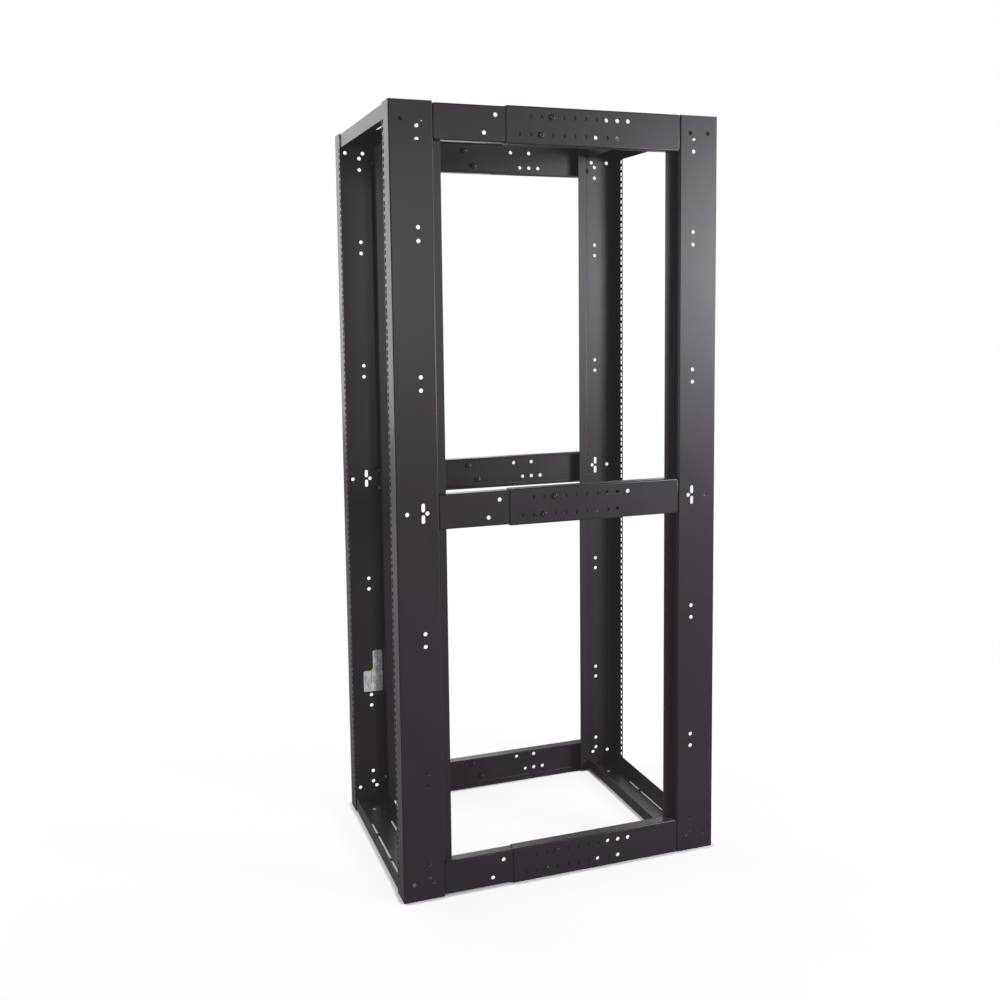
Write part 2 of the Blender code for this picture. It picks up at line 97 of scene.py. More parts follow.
# Sheet metal
SHEET = 0.002
BEND_RADIUS = 0.001
BROKEN_EDGE = 0.00025
TOUCH_GAP = 0.0003
CUT_OVERSHOOT = 0.003

# Post, as distances from its outer corner
POST_LIP = 0.023
POST_DEPTH = POST_HIGH.y - POST_LOW.y - POST_LIP
POST_RETURN = 0.0275
POST_HOLE_DIAMETER = 0.009
POST_CORNER_HOLE_END = 0.0385
POST_CORNER_HOLES = (0.024, 0.068)
POST_ROW_DEPTH = 0.059
POST_END_PAIR = 0.065
POST_PAIR_SPACING = 0.028
POST_FIRST_PAIR = 0.275
POST_PAIR_STEP = 0.310
POST_SLOT_OFFSET = 0.0124
POST_SLOT_SIZE = (0.0185, 0.008)

# Crossbar
CROSSBAR_INNER_LIP = 0.029
SLOT_WIDTH = 0.006
SLOT_BRIDGE = 0.009
MIDDLE_SLOT_LENGTH = 0.130
END_SLOT_LENGTH = 0.062
SLOT_ROW_SPACING = 0.0485
ANCHOR_HOLE_DIAMETER = 0.012
ANCHOR_INSET = 0.061
ANCHOR_SCREW_DIAMETER = 0.006
ANCHOR_SCREW_SPAN = (0.0573, 0.0362)

# Side rails
RAIL_HOLE_PITCH = 0.0254
RAIL_HOLE_DIAMETER = 0.009
RAIL_ROW_OFFSET = 0.019
SLEEVE_HOLES = 10
SLEEVE_FIRST_HOLE = 0.0272
INNER_PAIRS = 3
INNER_PAIR_STEP = 5 * RAIL_HOLE_PITCH
INNER_FIRST_HOLE = 0.1113
NOTCH_CLEARANCE = 0.001
TAB_CLEARANCE = 0.001
TAB_RELIEF = 0.0035
TAB_HOLE_EDGE = 0.017
TAB_HOLE_OFFSET = SLEEVE_HEIGHT / 2 - TAB_HOLE_EDGE
TAB_HOLE_INSET = 0.0145
RAIL_LEVELS = {
    "top": RACK_HEIGHT - SLEEVE_HEIGHT / 2,
    "middle": RACK_HEIGHT / 2,
    "bottom": SLEEVE_HEIGHT / 2,
}

# Fasteners
BOLT_RADIUS = 0.004
THREAD_PITCH = 0.00125
THREAD_DEPTH = 0.0007
THREAD_CLEARANCE = 0.0001
THREAD_STEPS = 6
TIP_TAPER = 2.2 * THREAD_DEPTH
HEAD_RADIUS = (BOLT_HIGH.y - BOLT_LOW.y) / 2
HEAD_HEIGHT = 0.0044
HEAD_FLAT_RADIUS = 0.0038
SOCKET_ACROSS_FLATS = 0.005
SOCKET_DEPTH = 0.0028
SOCKET_CONE_DEPTH = 1.2 * SOCKET_DEPTH
SOCKET_CONE_SCALE = 0.3
NUT_ACROSS_FLATS = 0.013
NUT_HEIGHT = 0.0065
NUT_CHAMFER = 0.0011
NUT_CONE_SLOPE = 1.7
WASHER_FACE_SCALE = 0.97
THREAD_BEYOND_NUT = 0.002
ROUND_SIDES = 36
DOME_STEPS = 8
DEPTH_BOLT_SPIN = 0.7
DEPTH_NUT_SPIN = 0.9
TAB_BOLT_SPIN = 0.8

# Mesh detail and shading
HOLE_SIDES = 24
CORNER_STEPS = 3
ARC_STEPS = 6
STRAIGHT_LIMIT = 0.5
BEVEL_ANGLE = math.radians(40)
BEVEL_SEGMENTS = 2
SMOOTH_ANGLE = math.radians(32)
STRIP_WIDTH = 0.001
FLAT_NORMAL = 0.9999
HOLE_FACET_AREA = 0.000003
TINY = 1e-9

# Colours, as a darker and a lighter end where a surface varies between the two
COAT_TONES = ((0.0110, 0.0088, 0.0112, 1), (0.0130, 0.0104, 0.0132, 1))
COAT_SPECK = (0.026, 0.021, 0.026, 1)
COAT_DUST = (0.24, 0.22, 0.22, 1)
ZINC_TONES = ((0.008, 0.0075, 0.008, 1), (0.016, 0.0145, 0.014, 1))
FOIL_TONES = ((0.66, 0.66, 0.68, 1), (0.90, 0.90, 0.92, 1))
FOIL_INK = (0.14, 0.14, 0.15, 1)
PAPER_TONES = ((0.36, 0.80, 0.11, 1), (0.44, 0.88, 0.15, 1))
WHITE = (1.0, 1.0, 1.0, 1)

# Labels
LABEL_CORNER = 0.0045
LABEL_CORNER_STEPS = 6
LABEL_ROWS = 240.0
DOT_DIAMETER = 0.011
DOT_OVERLAP = DOT_DIAMETER / 8
DOT_THICKNESS = 0.0002

# Stage.  The floor and the world are brighter to the camera than to the rack, so the background is white
# and the black coat stays dark.
FLOOR_SIZE = 40.0
FLOOR_DROP = 0.0002
FLOOR_SEEN = 0.82
FLOOR_MOTTLE = 0.01
FLOOR_BOUNCE = 0.26
FLOOR_FADE = (0.8, 2.4)
FLOOR_GLOW = 0.88
CONTACT_REACH = 0.012
CONTACT_SHADE = (0.80, 0.98)
BACKGROUND_SEEN = 1.0
AMBIENT = 0.04
VEILING_GLARE = (0.0150, 0.0122, 0.0152)
NEUTRAL = (1.0, 1.0, 1.0)
COOL = (0.97, 0.94, 1.0)

# Each softbox: its place, what it points at, its size, its power in watts and its colour
SOFTBOXES = {
    "front_left": ((-2.8, -3.4, 1.6), (0.0, 0.0, 1.0), (2.4, 2.6), 160.0, NEUTRAL),
    "left": ((-4.5, 0.0, 2.0), (0.0, 0.0, 1.0), (3.0, 3.0), 80.0, NEUTRAL),
    "front": ((0.3, -4.5, 2.0), (0.0, 0.0, 1.0), (2.6, 3.0), 60.0, NEUTRAL),
    "over_left": ((-2.5, -1.0, 3.8), (0.0, 0.0, 1.0), (2.0, 2.0), 50.0, NEUTRAL),
    "rear_left": ((-3.2, 3.2, 2.0), (0.0, 0.0, 1.0), (2.4, 3.0), 60.0, NEUTRAL),
    "rear_high": ((1.2, 3.8, 2.9), (0.2, 0.3, 1.6), (1.5, 1.5), 60.0, COOL),
    "rear_right": ((2.8, 2.8, 1.5), (0.2, 0.2, 1.3), (0.9, 0.9), 165.0, COOL),
    "right": ((3.4, 2.1, 1.5), (0.2, 0.2, 1.3), (0.9, 0.9), 20.0, COOL),
    "right_middle": ((4.2, 0.2, 1.5), (0.2, 0.0, 1.3), (1.0, 1.0), 24.0, NEUTRAL),
}

SIDES = {"right": 1, "left": -1}

HALF_TURN = {axis: Matrix.Rotation(math.pi, 4, axis) for axis in "XYZ"}
UPRIGHT = Matrix.Identity(4)
BODY_OF = {node: body for body, nodes in frame["record"]["behaviour"]["bodies"].items() for node in nodes}


# ---------------------------------------------------------------------------------------------- camera


def add_camera():
    """The camera of the photograph: placed, turned by azimuth, pitch and roll, then shifted."""
    azimuth, pitch, roll = CAMERA_AZIMUTH, CAMERA_PITCH, CAMERA_ROLL
    forward = Vector((
        -math.sin(azimuth) * math.cos(pitch),
        math.cos(azimuth) * math.cos(pitch),
        -math.sin(pitch),
    ))
    level = Vector((math.cos(azimuth), math.sin(azimuth), 0))
    up = level.cross(forward)
    right = math.cos(roll) * level + math.sin(roll) * up
    top = math.cos(roll) * up - math.sin(roll) * level
    data = bpy.data.cameras.new("camera")
    data.sensor_width = CAMERA_SENSOR
    data.lens = CAMERA_LENS
    data.shift_x, data.shift_y = CAMERA_SHIFT
    data.clip_start = CAMERA_NEAR
    camera = bpy.data.objects.new("camera", data)
    turn = Matrix((right, top, -forward)).transposed().to_4x4()
    camera.matrix_world = Matrix.Translation(CAMERA_PLACE) @ turn
    bpy.context.scene.collection.objects.link(camera)
    bpy.context.scene.camera = camera


# ------------------------------------------------------------------------------------------- materials


class Nodes:
    """A small helper that adds shader nodes and links them in one call."""

    def __init__(self, material):
        material.use_nodes = True
        self.tree = material.node_tree
        self.shader = self.tree.nodes["Principled BSDF"]

    def add(self, kind, settings=None, **inputs):
        """A node of a kind.  Inputs are values or output sockets, by name (_ for a space) or by i0, i1."""
        node = self.tree.nodes.new("ShaderNode" + kind)
        for key, value in (settings or {}).items():
            setattr(node, key, value)
        for key, value in inputs.items():
            socket = int(key[1:]) if key[0] == "i" and key[1:].isdigit() else key.replace("_", " ")
            self.feed(node.inputs[socket], value)
        return node

    def feed(self, socket, value):
        """Links an output socket to a socket, or sets a plain value on it."""
        if isinstance(value, bpy.types.NodeSocket):
            self.tree.links.new(value, socket)
        else:
            socket.default_value = value

    def math(self, operation, first, second):
        return self.add("Math", {"operation": operation}, i0=first, i1=second).outputs[0]

    def noise(self, vector, scale, detail=2.0, roughness=0.5):
        """Soft noise from 0 to 1, of about scale cells a metre."""
        node = self.add("TexNoise", Vector=vector, Scale=scale, Detail=detail, Roughness=roughness)
        return node.outputs["Fac"]

    def mix(self, factor, first, second):
        """A blend of two colours."""
        node = self.add("Mix", {"data_type": "RGBA"})
        self.feed(node.inputs["Factor"], factor)
        self.feed(node.inputs["A"], first)
        self.feed(node.inputs["B"], second)
        return node.outputs["Result"]

    def span(self, value, low, high, to_low=0.0, to_high=1.0):
        """A value moved from one range to another, and clamped to it."""
        ranges = {"From_Min": low, "From_Max": high, "To_Min": to_low, "To_Max": to_high}
        return self.add("MapRange", Value=value, **ranges).outputs["Result"]

    def bump(self, height, distance, strength=1.0, normal=None):
        node = self.add("Bump", Strength=strength, Distance=distance, Height=height)
        if normal is not None:
            self.feed(node.inputs["Normal"], normal)
        return node.outputs["Normal"]


def powder_coat():
    """Satin black powder coat: fine orange peel, uneven gloss, and a little dust on what faces up."""
    material = bpy.data.materials.new("black_powder_coat_fine")
    nodes = Nodes(material)
    place = nodes.add("TexCoord").outputs["Object"]
    cloud = nodes.noise(place, 5.0, 3.0, 0.6)
    mottle = nodes.noise(place, 140.0, 3.0, 0.6)
    speckle = nodes.noise(place, 1500.0, 1.0)
    peel = nodes.noise(place, 620.0, 2.0, 0.55)
    upward = nodes.add("SeparateXYZ", Vector=nodes.add("NewGeometry").outputs["Normal"]).outputs["Z"]
    tone = nodes.mix(nodes.span(cloud, 0.35, 0.65), *COAT_TONES)
    tone = nodes.mix(nodes.span(speckle, 0.58, 0.80, 0.0, 0.30), tone, COAT_SPECK)
    dust = nodes.math("MULTIPLY", nodes.span(upward, 0.6, 1.0), nodes.span(mottle, 0.35, 0.75, 0.01, 0.05))
    tone = nodes.mix(dust, tone, COAT_DUST)
    gloss = nodes.span(cloud, 0.3, 0.7, 0.33, 0.37)
    gloss = nodes.math("ADD", gloss, nodes.span(mottle, 0.3, 0.7, -0.02, 0.02))
    gloss = nodes.math("ADD", gloss, dust)
    nodes.feed(nodes.shader.inputs["Base Color"], tone)
    nodes.feed(nodes.shader.inputs["Roughness"], gloss)
    coarse = nodes.bump(peel, 0.00006, 0.8)
    nodes.feed(nodes.shader.inputs["Normal"], nodes.bump(speckle, 0.00002, 0.6, coarse))
    nodes.shader.inputs["Specular IOR Level"].default_value = 0.30
    return material


def black_zinc():
    """Black zinc plating on the bolts and nuts: darker and glossier, with a faint brown cast."""
    material = bpy.data.materials.new("black_zinc_fine")
    nodes = Nodes(material)
    place = nodes.add("TexCoord").outputs["Object"]
    patch = nodes.noise(place, 260.0, 4.0, 0.6)
    grain = nodes.noise(place, 2400.0, 2.0)
    tone = nodes.mix(nodes.span(patch, 0.3, 0.7), *ZINC_TONES)
    nodes.feed(nodes.shader.inputs["Base Color"], tone)
    nodes.feed(nodes.shader.inputs["Roughness"], nodes.span(patch, 0.3, 0.7, 0.30, 0.44))
    nodes.feed(nodes.shader.inputs["Normal"], nodes.bump(grain, 0.00002, 0.5))
    nodes.shader.inputs["Specular IOR Level"].default_value = 0.4
    return material


def silver_foil():
    """Satin silver label stock with faint printed rules and blocks, and no lettering."""
    material = bpy.data.materials.new("silver_label_fine")
    nodes = Nodes(material)
    place = nodes.add("TexCoord").outputs["Object"]
    across = nodes.add("SeparateXYZ", Vector=place).outputs["Y"]
    stretched = nodes.add("Mapping", Vector=place, Scale=(1.0, 8.0, 260.0)).outputs["Vector"]
    brushed = nodes.noise(stretched, 12.0, 4.0, 0.6)
    cloud = nodes.noise(place, 60.0, 3.0, 0.6)
    rows = nodes.math("PINGPONG", nodes.math("MULTIPLY", across, LABEL_ROWS), 0.5)
    word_scale = nodes.add("Mapping", Vector=place, Scale=(0.0, 180.0, 320.0)).outputs["Vector"]
    words = nodes.noise(word_scale, 1.0, 1.0)
    block_scale = nodes.add("Mapping", Vector=place, Scale=(0.0, 90.0, 60.0)).outputs["Vector"]
    blocks = nodes.noise(block_scale, 1.0, 0.0)
    ink = nodes.math("MULTIPLY", nodes.span(rows, 0.20, 0.30), nodes.span(words, 0.40, 0.50))
    ink = nodes.math("MULTIPLY", ink, nodes.span(blocks, 0.38, 0.50))
    tone = nodes.mix(nodes.span(cloud, 0.3, 0.7), *FOIL_TONES)
    tone = nodes.mix(nodes.math("MULTIPLY", ink, 0.8), tone, FOIL_INK)
    nodes.feed(nodes.shader.inputs["Base Color"], tone)
    nodes.feed(nodes.shader.inputs["Roughness"], nodes.span(brushed, 0.3, 0.7, 0.34, 0.52))
    nodes.feed(nodes.shader.inputs["Normal"], nodes.bump(brushed, 0.00002, 0.4))
    nodes.shader.inputs["Metallic"].default_value = 0.25
    return material


def green_paper():
    """A matt green paper dot with a soft fibre texture."""
    material = bpy.data.materials.new("green_sticker_fine")
    nodes = Nodes(material)
    place = nodes.add("TexCoord").outputs["Object"]
    fibre = nodes.noise(place, 1800.0, 4.0, 0.65)
    tone = nodes.mix(nodes.span(fibre, 0.3, 0.7), *PAPER_TONES)
    nodes.feed(nodes.shader.inputs["Base Color"], tone)
    nodes.feed(nodes.shader.inputs["Roughness"], nodes.span(fibre, 0.3, 0.7, 0.55, 0.7))
    nodes.feed(nodes.shader.inputs["Normal"], nodes.bump(fibre, 0.00003, 0.5))
    return material


# -------------------------------------------------------------------------------------- mesh functions


def finish_mesh(shape, name):
    """A mesh of a bmesh, with its faces outward.  The bmesh is used up."""
    bmesh.ops.recalc_face_normals(shape, faces=shape.faces)
    mesh = bpy.data.meshes.new(name)
    shape.to_mesh(mesh)
    shape.free()
    return mesh


def add_prism(shape, outline, start, end, place):
    """A straight prism: outline(u, v) goes from start to end, and place(u, v, w) gives each corner."""
    low = [shape.verts.new(place(u, v, start)) for u, v in outline]
    high = [shape.verts.new(place(u, v, end)) for u, v in outline]
    shape.faces.new(low[::-1])
    shape.faces.new(high)
    for i, vert in enumerate(low):
        following = (i + 1) % len(low)
        shape.faces.new((vert, low[following], high[following], high[i]))


def along_x(u, v, w):
    return (w, u, v)


def along_y(u, v, w):
    return (u, w, v)


def along_z(u, v, w):
    return (u, v, w)


def round_outline(centre, diameter, sides=HOLE_SIDES):
    """A circle of straight sides."""
    step = 2 * math.pi / sides
    radius = diameter / 2
    angles = [(i + 0.5) * step for i in range(sides)]
    return [(centre[0] + radius * math.cos(a), centre[1] + radius * math.sin(a)) for a in angles]


def slot_outline(centre, length, width, upright=False):
    """A slot with rounded ends, along the first axis or, when upright, along the second."""
    reach = (length - width) / 2
    half = HOLE_SIDES // 2
    points = []
    for end in (1, -1):
        for i in range(half + 1):
            angle = i * math.pi / half - end * math.pi / 2
            points.append((end * reach + width / 2 * math.cos(angle), width / 2 * math.sin(angle)))
    if upright:
        points = [(-across, along) for along, across in points]
    return [(centre[0] + a, centre[1] + b) for a, b in points]


def rounded_box_outline(low, high, radius, steps):
    """A rectangle with rounded corners."""
    points = []
    corners = [(high[0], high[1], 0), (low[0], high[1], 1), (low[0], low[1], 2), (high[0], low[1], 3)]
    for x, y, quarter in corners:
        inset_x = math.copysign(radius, x - low[0] - TINY)
        inset_y = math.copysign(radius, y - low[1] - TINY)
        centre = (x - inset_x, y - inset_y)
        for step in range(steps + 1):
            angle = (quarter + step / steps) * math.pi / 2
            points.append((centre[0] + radius * math.cos(angle), centre[1] + radius * math.sin(angle)))
    return points


def direction(start, end):
    """The unit vector from one point to another."""
    length = math.hypot(end[0] - start[0], end[1] - start[1])
    return ((end[0] - start[0]) / length, (end[1] - start[1]) / length)


def folded_outline(path):
    """The section of a bent sheet whose middle line is the path, with an arc at each bend."""
    near_side = []
    far_side = []
    for i, (x, y) in enumerate(path):
        before = direction(path[max(i - 1, 0)], path[max(i, 1)])
        after = direction(path[min(i, len(path) - 2)], path[min(i + 1, len(path) - 1)])
        turn = before[0] * after[1] - before[1] * after[0]
        if abs(turn) < STRAIGHT_LIMIT:
            near_side.append((x - before[1] * SHEET / 2, y + before[0] * SHEET / 2))
            far_side.append((x + before[1] * SHEET / 2, y - before[0] * SHEET / 2))
            continue
        side = math.copysign(1, turn)
        reach = BEND_RADIUS + SHEET / 2
        centre = (x + reach * (after[0] - before[0]), y + reach * (after[1] - before[1]))
        start = math.atan2(-side * before[0], side * before[1])
        for step in range(ARC_STEPS + 1):
            angle = start + side * step / ARC_STEPS * math.pi / 2
            arm = (math.cos(angle), math.sin(angle))
            inside = (centre[0] + BEND_RADIUS * arm[0], centre[1] + BEND_RADIUS * arm[1])
            outside = (
                centre[0] + (BEND_RADIUS + SHEET) * arm[0],
                centre[1] + (BEND_RADIUS + SHEET) * arm[1],
            )
            near_side.append(inside if side > 0 else outside)
            far_side.append(outside if side > 0 else inside)
    return near_side + far_side[::-1]


def evaluated(mesh, add_modifier):
    """The mesh after one modifier, which add_modifier puts on a passing object."""
    body = bpy.data.objects.new("body", mesh)
    bpy.context.scene.collection.objects.link(body)
    add_modifier(body)
    graph = bpy.context.evaluated_depsgraph_get()
    result = bpy.data.meshes.new_from_object(body.evaluated_get(graph))
    bpy.data.objects.remove(body)
    bpy.data.meshes.remove(mesh)
    return result


def combine(mesh, other, operation):
    """The mesh after a Boolean with another shape, which is used up."""
    tool = bpy.data.objects.new("tool", finish_mesh(other, "tool"))
    bpy.context.scene.collection.objects.link(tool)

    def add_modifier(body):
        modifier = body.modifiers.new(operation.lower(), "BOOLEAN")
        modifier.operation = operation
        modifier.solver = "EXACT"
        modifier.object = tool

    result = evaluated(mesh, add_modifier)
    used = tool.data
    bpy.data.objects.remove(tool)
    bpy.data.meshes.remove(used)
    return result


def break_edges(mesh):
    """Every sharp edge gets a small radius, and the narrow strips of bends and holes are smooth."""

    def add_modifier(body):
        modifier = body.modifiers.new("broken_edges", "BEVEL")
        modifier.limit_method = "ANGLE"
        modifier.angle_limit = BEVEL_ANGLE
        modifier.width = BROKEN_EDGE
        modifier.segments = BEVEL_SEGMENTS
        modifier.use_clamp_overlap = False

    result = evaluated(mesh, add_modifier)
    shade_strips(result)
    return result


def shade_strips(mesh):
    """Narrow faces are smooth, except for slivers of the flat sheet, which would shade as lines."""
    shape = bmesh.new()
    shape.from_mesh(mesh)
    for face in shape.faces:
        narrow = 2 * face.calc_area() / max(face.calc_perimeter(), TINY) < STRIP_WIDTH
        flat = max(abs(part) for part in face.normal) > FLAT_NORMAL
        face.smooth = narrow and not (flat and face.calc_area() > HOLE_FACET_AREA)
    shape.to_mesh(mesh)
    shape.free()


def mirrored(heights):
    """Each height above the middle, and the same below it."""
    return [sign * height for height in heights for sign in (1, -1)]


# ------------------------------------------------------------------------------------ sheet-metal pieces


def post_web_cutters(holes):
    """Round holes and slots through the wide web, mirrored about the post's middle height."""

    def drill(depth, height):
        outline = round_outline((depth, height), POST_HOLE_DIAMETER)
        add_prism(holes, outline, -SHEET - CUT_OVERSHOOT, CUT_OVERSHOOT, along_x)

    half = RACK_HEIGHT / 2
    for depth in POST_CORNER_HOLES:
        for height in mirrored([half - POST_CORNER_HOLE_END]) + [0]:
            drill(depth, height)
    for middle in (half - POST_END_PAIR, POST_FIRST_PAIR + POST_PAIR_STEP, POST_FIRST_PAIR):
        for height in mirrored([middle - POST_PAIR_SPACING / 2, middle + POST_PAIR_SPACING / 2]):
            drill(POST_ROW_DEPTH, height)
    for height in mirrored([POST_SLOT_OFFSET]):
        outline = slot_outline((POST_ROW_DEPTH, height), *POST_SLOT_SIZE, upright=True)
        add_prism(holes, outline, -SHEET - CUT_OVERSHOOT, CUT_OVERSHOOT, along_x)


def post_face_cutters(holes):
    """The rack-unit column of square holes through the outer face."""
    column = PANEL_HOLE_SPACING / 2 - SIDE_X
    half = PANEL_HOLE_SIDE / 2
    for unit in range(RACK_UNITS):
        middle = (unit + 0.5 - RACK_UNITS / 2) * UNIT_HEIGHT
        for height in (middle - UNIT_HOLE_STEP, middle, middle + UNIT_HOLE_STEP):
            low, high = (column - half, height - half), (column + half, height + half)
            outline = rounded_box_outline(low, high, PANEL_HOLE_CORNER, CORNER_STEPS)
            add_prism(holes, outline, -CUT_OVERSHOOT, SHEET + CUT_OVERSHOOT, along_y)


def post_return_cutters(holes):
    """Bolt holes through the return flange for the tabs of the three side rails."""
    start = POST_DEPTH - SHEET - CUT_OVERSHOOT
    end = POST_DEPTH + CUT_OVERSHOOT
    for level in RAIL_LEVELS.values():
        for height in mirrored([TAB_HOLE_OFFSET]):
            centre = (-TAB_HOLE_INSET, level - RACK_HEIGHT / 2 + height)
            add_prism(holes, round_outline(centre, RAIL_HOLE_DIAMETER), start, end, along_y)


def post_mesh():
    """One post about its mid height: outer corner at the origin, web along +Y, face along -X."""
    middle = SHEET / 2
    path = [
        (-POST_FACE_WIDTH, middle),
        (-middle, middle),
        (-middle, POST_DEPTH - middle),
        (-POST_RETURN + middle, POST_DEPTH - middle),
        (-POST_RETURN + middle, POST_DEPTH + POST_LIP),
    ]
    shape = bmesh.new()
    add_prism(shape, folded_outline(path), -RACK_HEIGHT / 2, RACK_HEIGHT / 2, along_z)
    holes = bmesh.new()
    post_web_cutters(holes)
    post_face_cutters(holes)
    post_return_cutters(holes)
    return break_edges(combine(finish_mesh(shape, "post"), holes, "DIFFERENCE"))


def crossbar_slot_cutters(holes):
    """Two rows of long slots through the plate, each a middle slot between two shorter ones."""
    end_slot = MIDDLE_SLOT_LENGTH / 2 + SLOT_BRIDGE + END_SLOT_LENGTH / 2
    slots = [(0, MIDDLE_SLOT_LENGTH), (-end_slot, END_SLOT_LENGTH), (end_slot, END_SLOT_LENGTH)]
    for row in (-SLOT_ROW_SPACING / 2, SLOT_ROW_SPACING / 2):
        for middle, length in slots:
            outline = slot_outline((middle, CROSSBAR_DEPTH / 2 + row), length, SLOT_WIDTH)
            add_prism(holes, outline, -CUT_OVERSHOOT, SHEET + CUT_OVERSHOOT, along_z)


def crossbar_anchor_cutters(holes):
    """A floor-anchor hole and four screw holes around it near each end of the plate."""
    for side in SIDES.values():
        anchor = (side * (SIDE_X - ANCHOR_INSET), CROSSBAR_DEPTH / 2)
        outlines = [round_outline(anchor, ANCHOR_HOLE_DIAMETER)]
        for across in mirrored([ANCHOR_SCREW_SPAN[0] / 2]):
            for along in mirrored([ANCHOR_SCREW_SPAN[1] / 2]):
                centre = (anchor[0] + across, anchor[1] + along)
                outlines.append(round_outline(centre, ANCHOR_SCREW_DIAMETER))
        for outline in outlines:
            add_prism(holes, outline, -CUT_OVERSHOOT, SHEET + CUT_OVERSHOOT, along_z)


def crossbar_lip_cutters(holes):
    """Holes in the inner lip for the tab bolts of the side rails beside it."""
    for side in SIDES.values():
        centre = (side * (SIDE_X - TAB_HOLE_INSET), TAB_HOLE_EDGE)
        start = CROSSBAR_DEPTH - SHEET - CUT_OVERSHOOT
        end = CROSSBAR_DEPTH + CUT_OVERSHOOT
        add_prism(holes, round_outline(centre, RAIL_HOLE_DIAMETER), start, end, along_y)


def crossbar_mesh(anchored):
    """One crossbar, lips up: outer lip at Y = 0, plate on Z = 0, centred on X = 0."""
    middle = SHEET / 2
    path = [
        (middle, CROSSBAR_OUTER_LIP),
        (middle, middle),
        (CROSSBAR_DEPTH - middle, middle),
        (CROSSBAR_DEPTH - middle, CROSSBAR_INNER_LIP),
    ]
    shape = bmesh.new()
    add_prism(shape, folded_outline(path), -CROSSBAR_LENGTH / 2, CROSSBAR_LENGTH / 2, along_x)
    holes = bmesh.new()
    crossbar_slot_cutters(holes)
    crossbar_lip_cutters(holes)
    if anchored:
        crossbar_anchor_cutters(holes)
    return break_edges(combine(finish_mesh(shape, "crossbar"), holes, "DIFFERENCE"))


def rail_channel(height, flange, length, way):
    """A channel rail: web outer face at X = 0, flanges along -X, post end just past Y = 0."""
    middle = SHEET / 2
    half = height / 2
    path = [
        (-flange, half - middle),
        (-middle, half - middle),
        (-middle, middle - half),
        (-flange, middle - half),
    ]
    shape = bmesh.new()
    start = SHEET + 2 * BEND_RADIUS
    add_prism(shape, folded_outline(path), way * start, way * length, along_y)
    return finish_mesh(shape, "rail")


def rail_notch(height, flange, web_inset, way):
    """The edge of both flanges cut back at the post end, to clear the post's lip."""
    shape = bmesh.new()
    bend = SHEET + BEND_RADIUS
    cut = POST_RETURN - SHEET - TAB_CLEARANCE - web_inset
    end = way * (POST_LIP + NOTCH_CLEARANCE)
    for side in (1, -1):
        ends = sorted((side * (height / 2 - bend), side * (height / 2 + CUT_OVERSHOOT)))
        low, high = (-flange - CUT_OVERSHOOT, ends[0]), (-cut, ends[1])
        outline = [low, (high[0], low[1]), high, (low[0], high[1])]
        add_prism(shape, outline, -way * CUT_OVERSHOOT, end, along_y)
    return shape


def rail_tab(height, web_inset, way):
    """The tab, bent across the post end of a rail with a real bend, up to just short of the post's lip."""
    half = height / 2 - TAB_RELIEF
    reach = POST_RETURN - SHEET - TAB_CLEARANCE - web_inset
    middle = SHEET / 2
    overlap = SHEET + 4 * BEND_RADIUS
    outline = folded_outline([(-reach, middle), (-middle, middle), (-middle, overlap)])
    shape = bmesh.new()
    add_prism(shape, [(u, way * v) for u, v in outline], -half, half, along_z)
    return shape


def rail_cutters(web_inset, way, row_holes):
    """Row holes through the web, and the two bolt holes through the tab."""
    holes = bmesh.new()
    for distance, height in row_holes:
        outline = round_outline((way * distance, height), RAIL_HOLE_DIAMETER)
        add_prism(holes, outline, -SHEET - CUT_OVERSHOOT, CUT_OVERSHOOT, along_x)
    for height in mirrored([TAB_HOLE_OFFSET]):
        outline = round_outline((web_inset - TAB_HOLE_INSET, height), RAIL_HOLE_DIAMETER)
        add_prism(holes, outline, -way * CUT_OVERSHOOT, way * (SHEET + CUT_OVERSHOOT), along_y)
    return holes


def rail_mesh(height, flange, length, web_inset, way, row_holes):
    """A channel rail with a tab at its post end.  It runs along +Y or, where way is -1, along -Y."""
    mesh = rail_channel(height, flange, length, way)
    mesh = combine(mesh, rail_notch(height, flange, web_inset, way), "DIFFERENCE")
    mesh = combine(mesh, rail_tab(height, web_inset, way), "UNION")
    return break_edges(combine(mesh, rail_cutters(web_inset, way, row_holes), "DIFFERENCE"))


def inner_rail_mesh():
    """The rail on the front post.  Its lower row lies one hole pitch nearer to the post."""
    row_holes = []
    for pair in range(INNER_PAIRS):
        distance = INNER_FIRST_HOLE + pair * INNER_PAIR_STEP
        row_holes.append((distance, -RAIL_ROW_OFFSET))
        row_holes.append((distance + RAIL_HOLE_PITCH, RAIL_ROW_OFFSET))
    return rail_mesh(INNER_RAIL_HEIGHT, INNER_RAIL_FLANGE, INNER_RAIL_LENGTH, NEST_INSET, 1, row_holes)


def sleeve_rail_mesh():
    """The rail on the rear post, with two rows of holes counted from its free front end."""
    row_holes = []
    for index in range(SLEEVE_HOLES):
        distance = SLEEVE_LENGTH - SLEEVE_FIRST_HOLE - index * RAIL_HOLE_PITCH
        row_holes.append((distance, -RAIL_ROW_OFFSET))
        row_holes.append((distance - RAIL_HOLE_PITCH, RAIL_ROW_OFFSET))
    return rail_mesh(SLEEVE_HEIGHT, SLEEVE_FLANGE, SLEEVE_LENGTH, 0, -1, row_holes)


# ------------------------------------------------------------------------------------ bolts and nuts


def hexagon_radius(across_flats, angle):
    """Distance from the centre of a hexagon to its edge at an angle."""
    within = (angle + math.pi / 6) % (math.pi / 3) - math.pi / 6
    return across_flats / 2 / math.cos(within)


def add_ring(shape, radius_at, height):
    """A ring about the Z axis, whose radius is a function of the angle."""
    ring = []
    for i in range(ROUND_SIDES):
        angle = 2 * math.pi * i / ROUND_SIDES
        radius = radius_at(angle)
        ring.append(shape.verts.new((radius * math.cos(angle), radius * math.sin(angle), height)))
    return ring


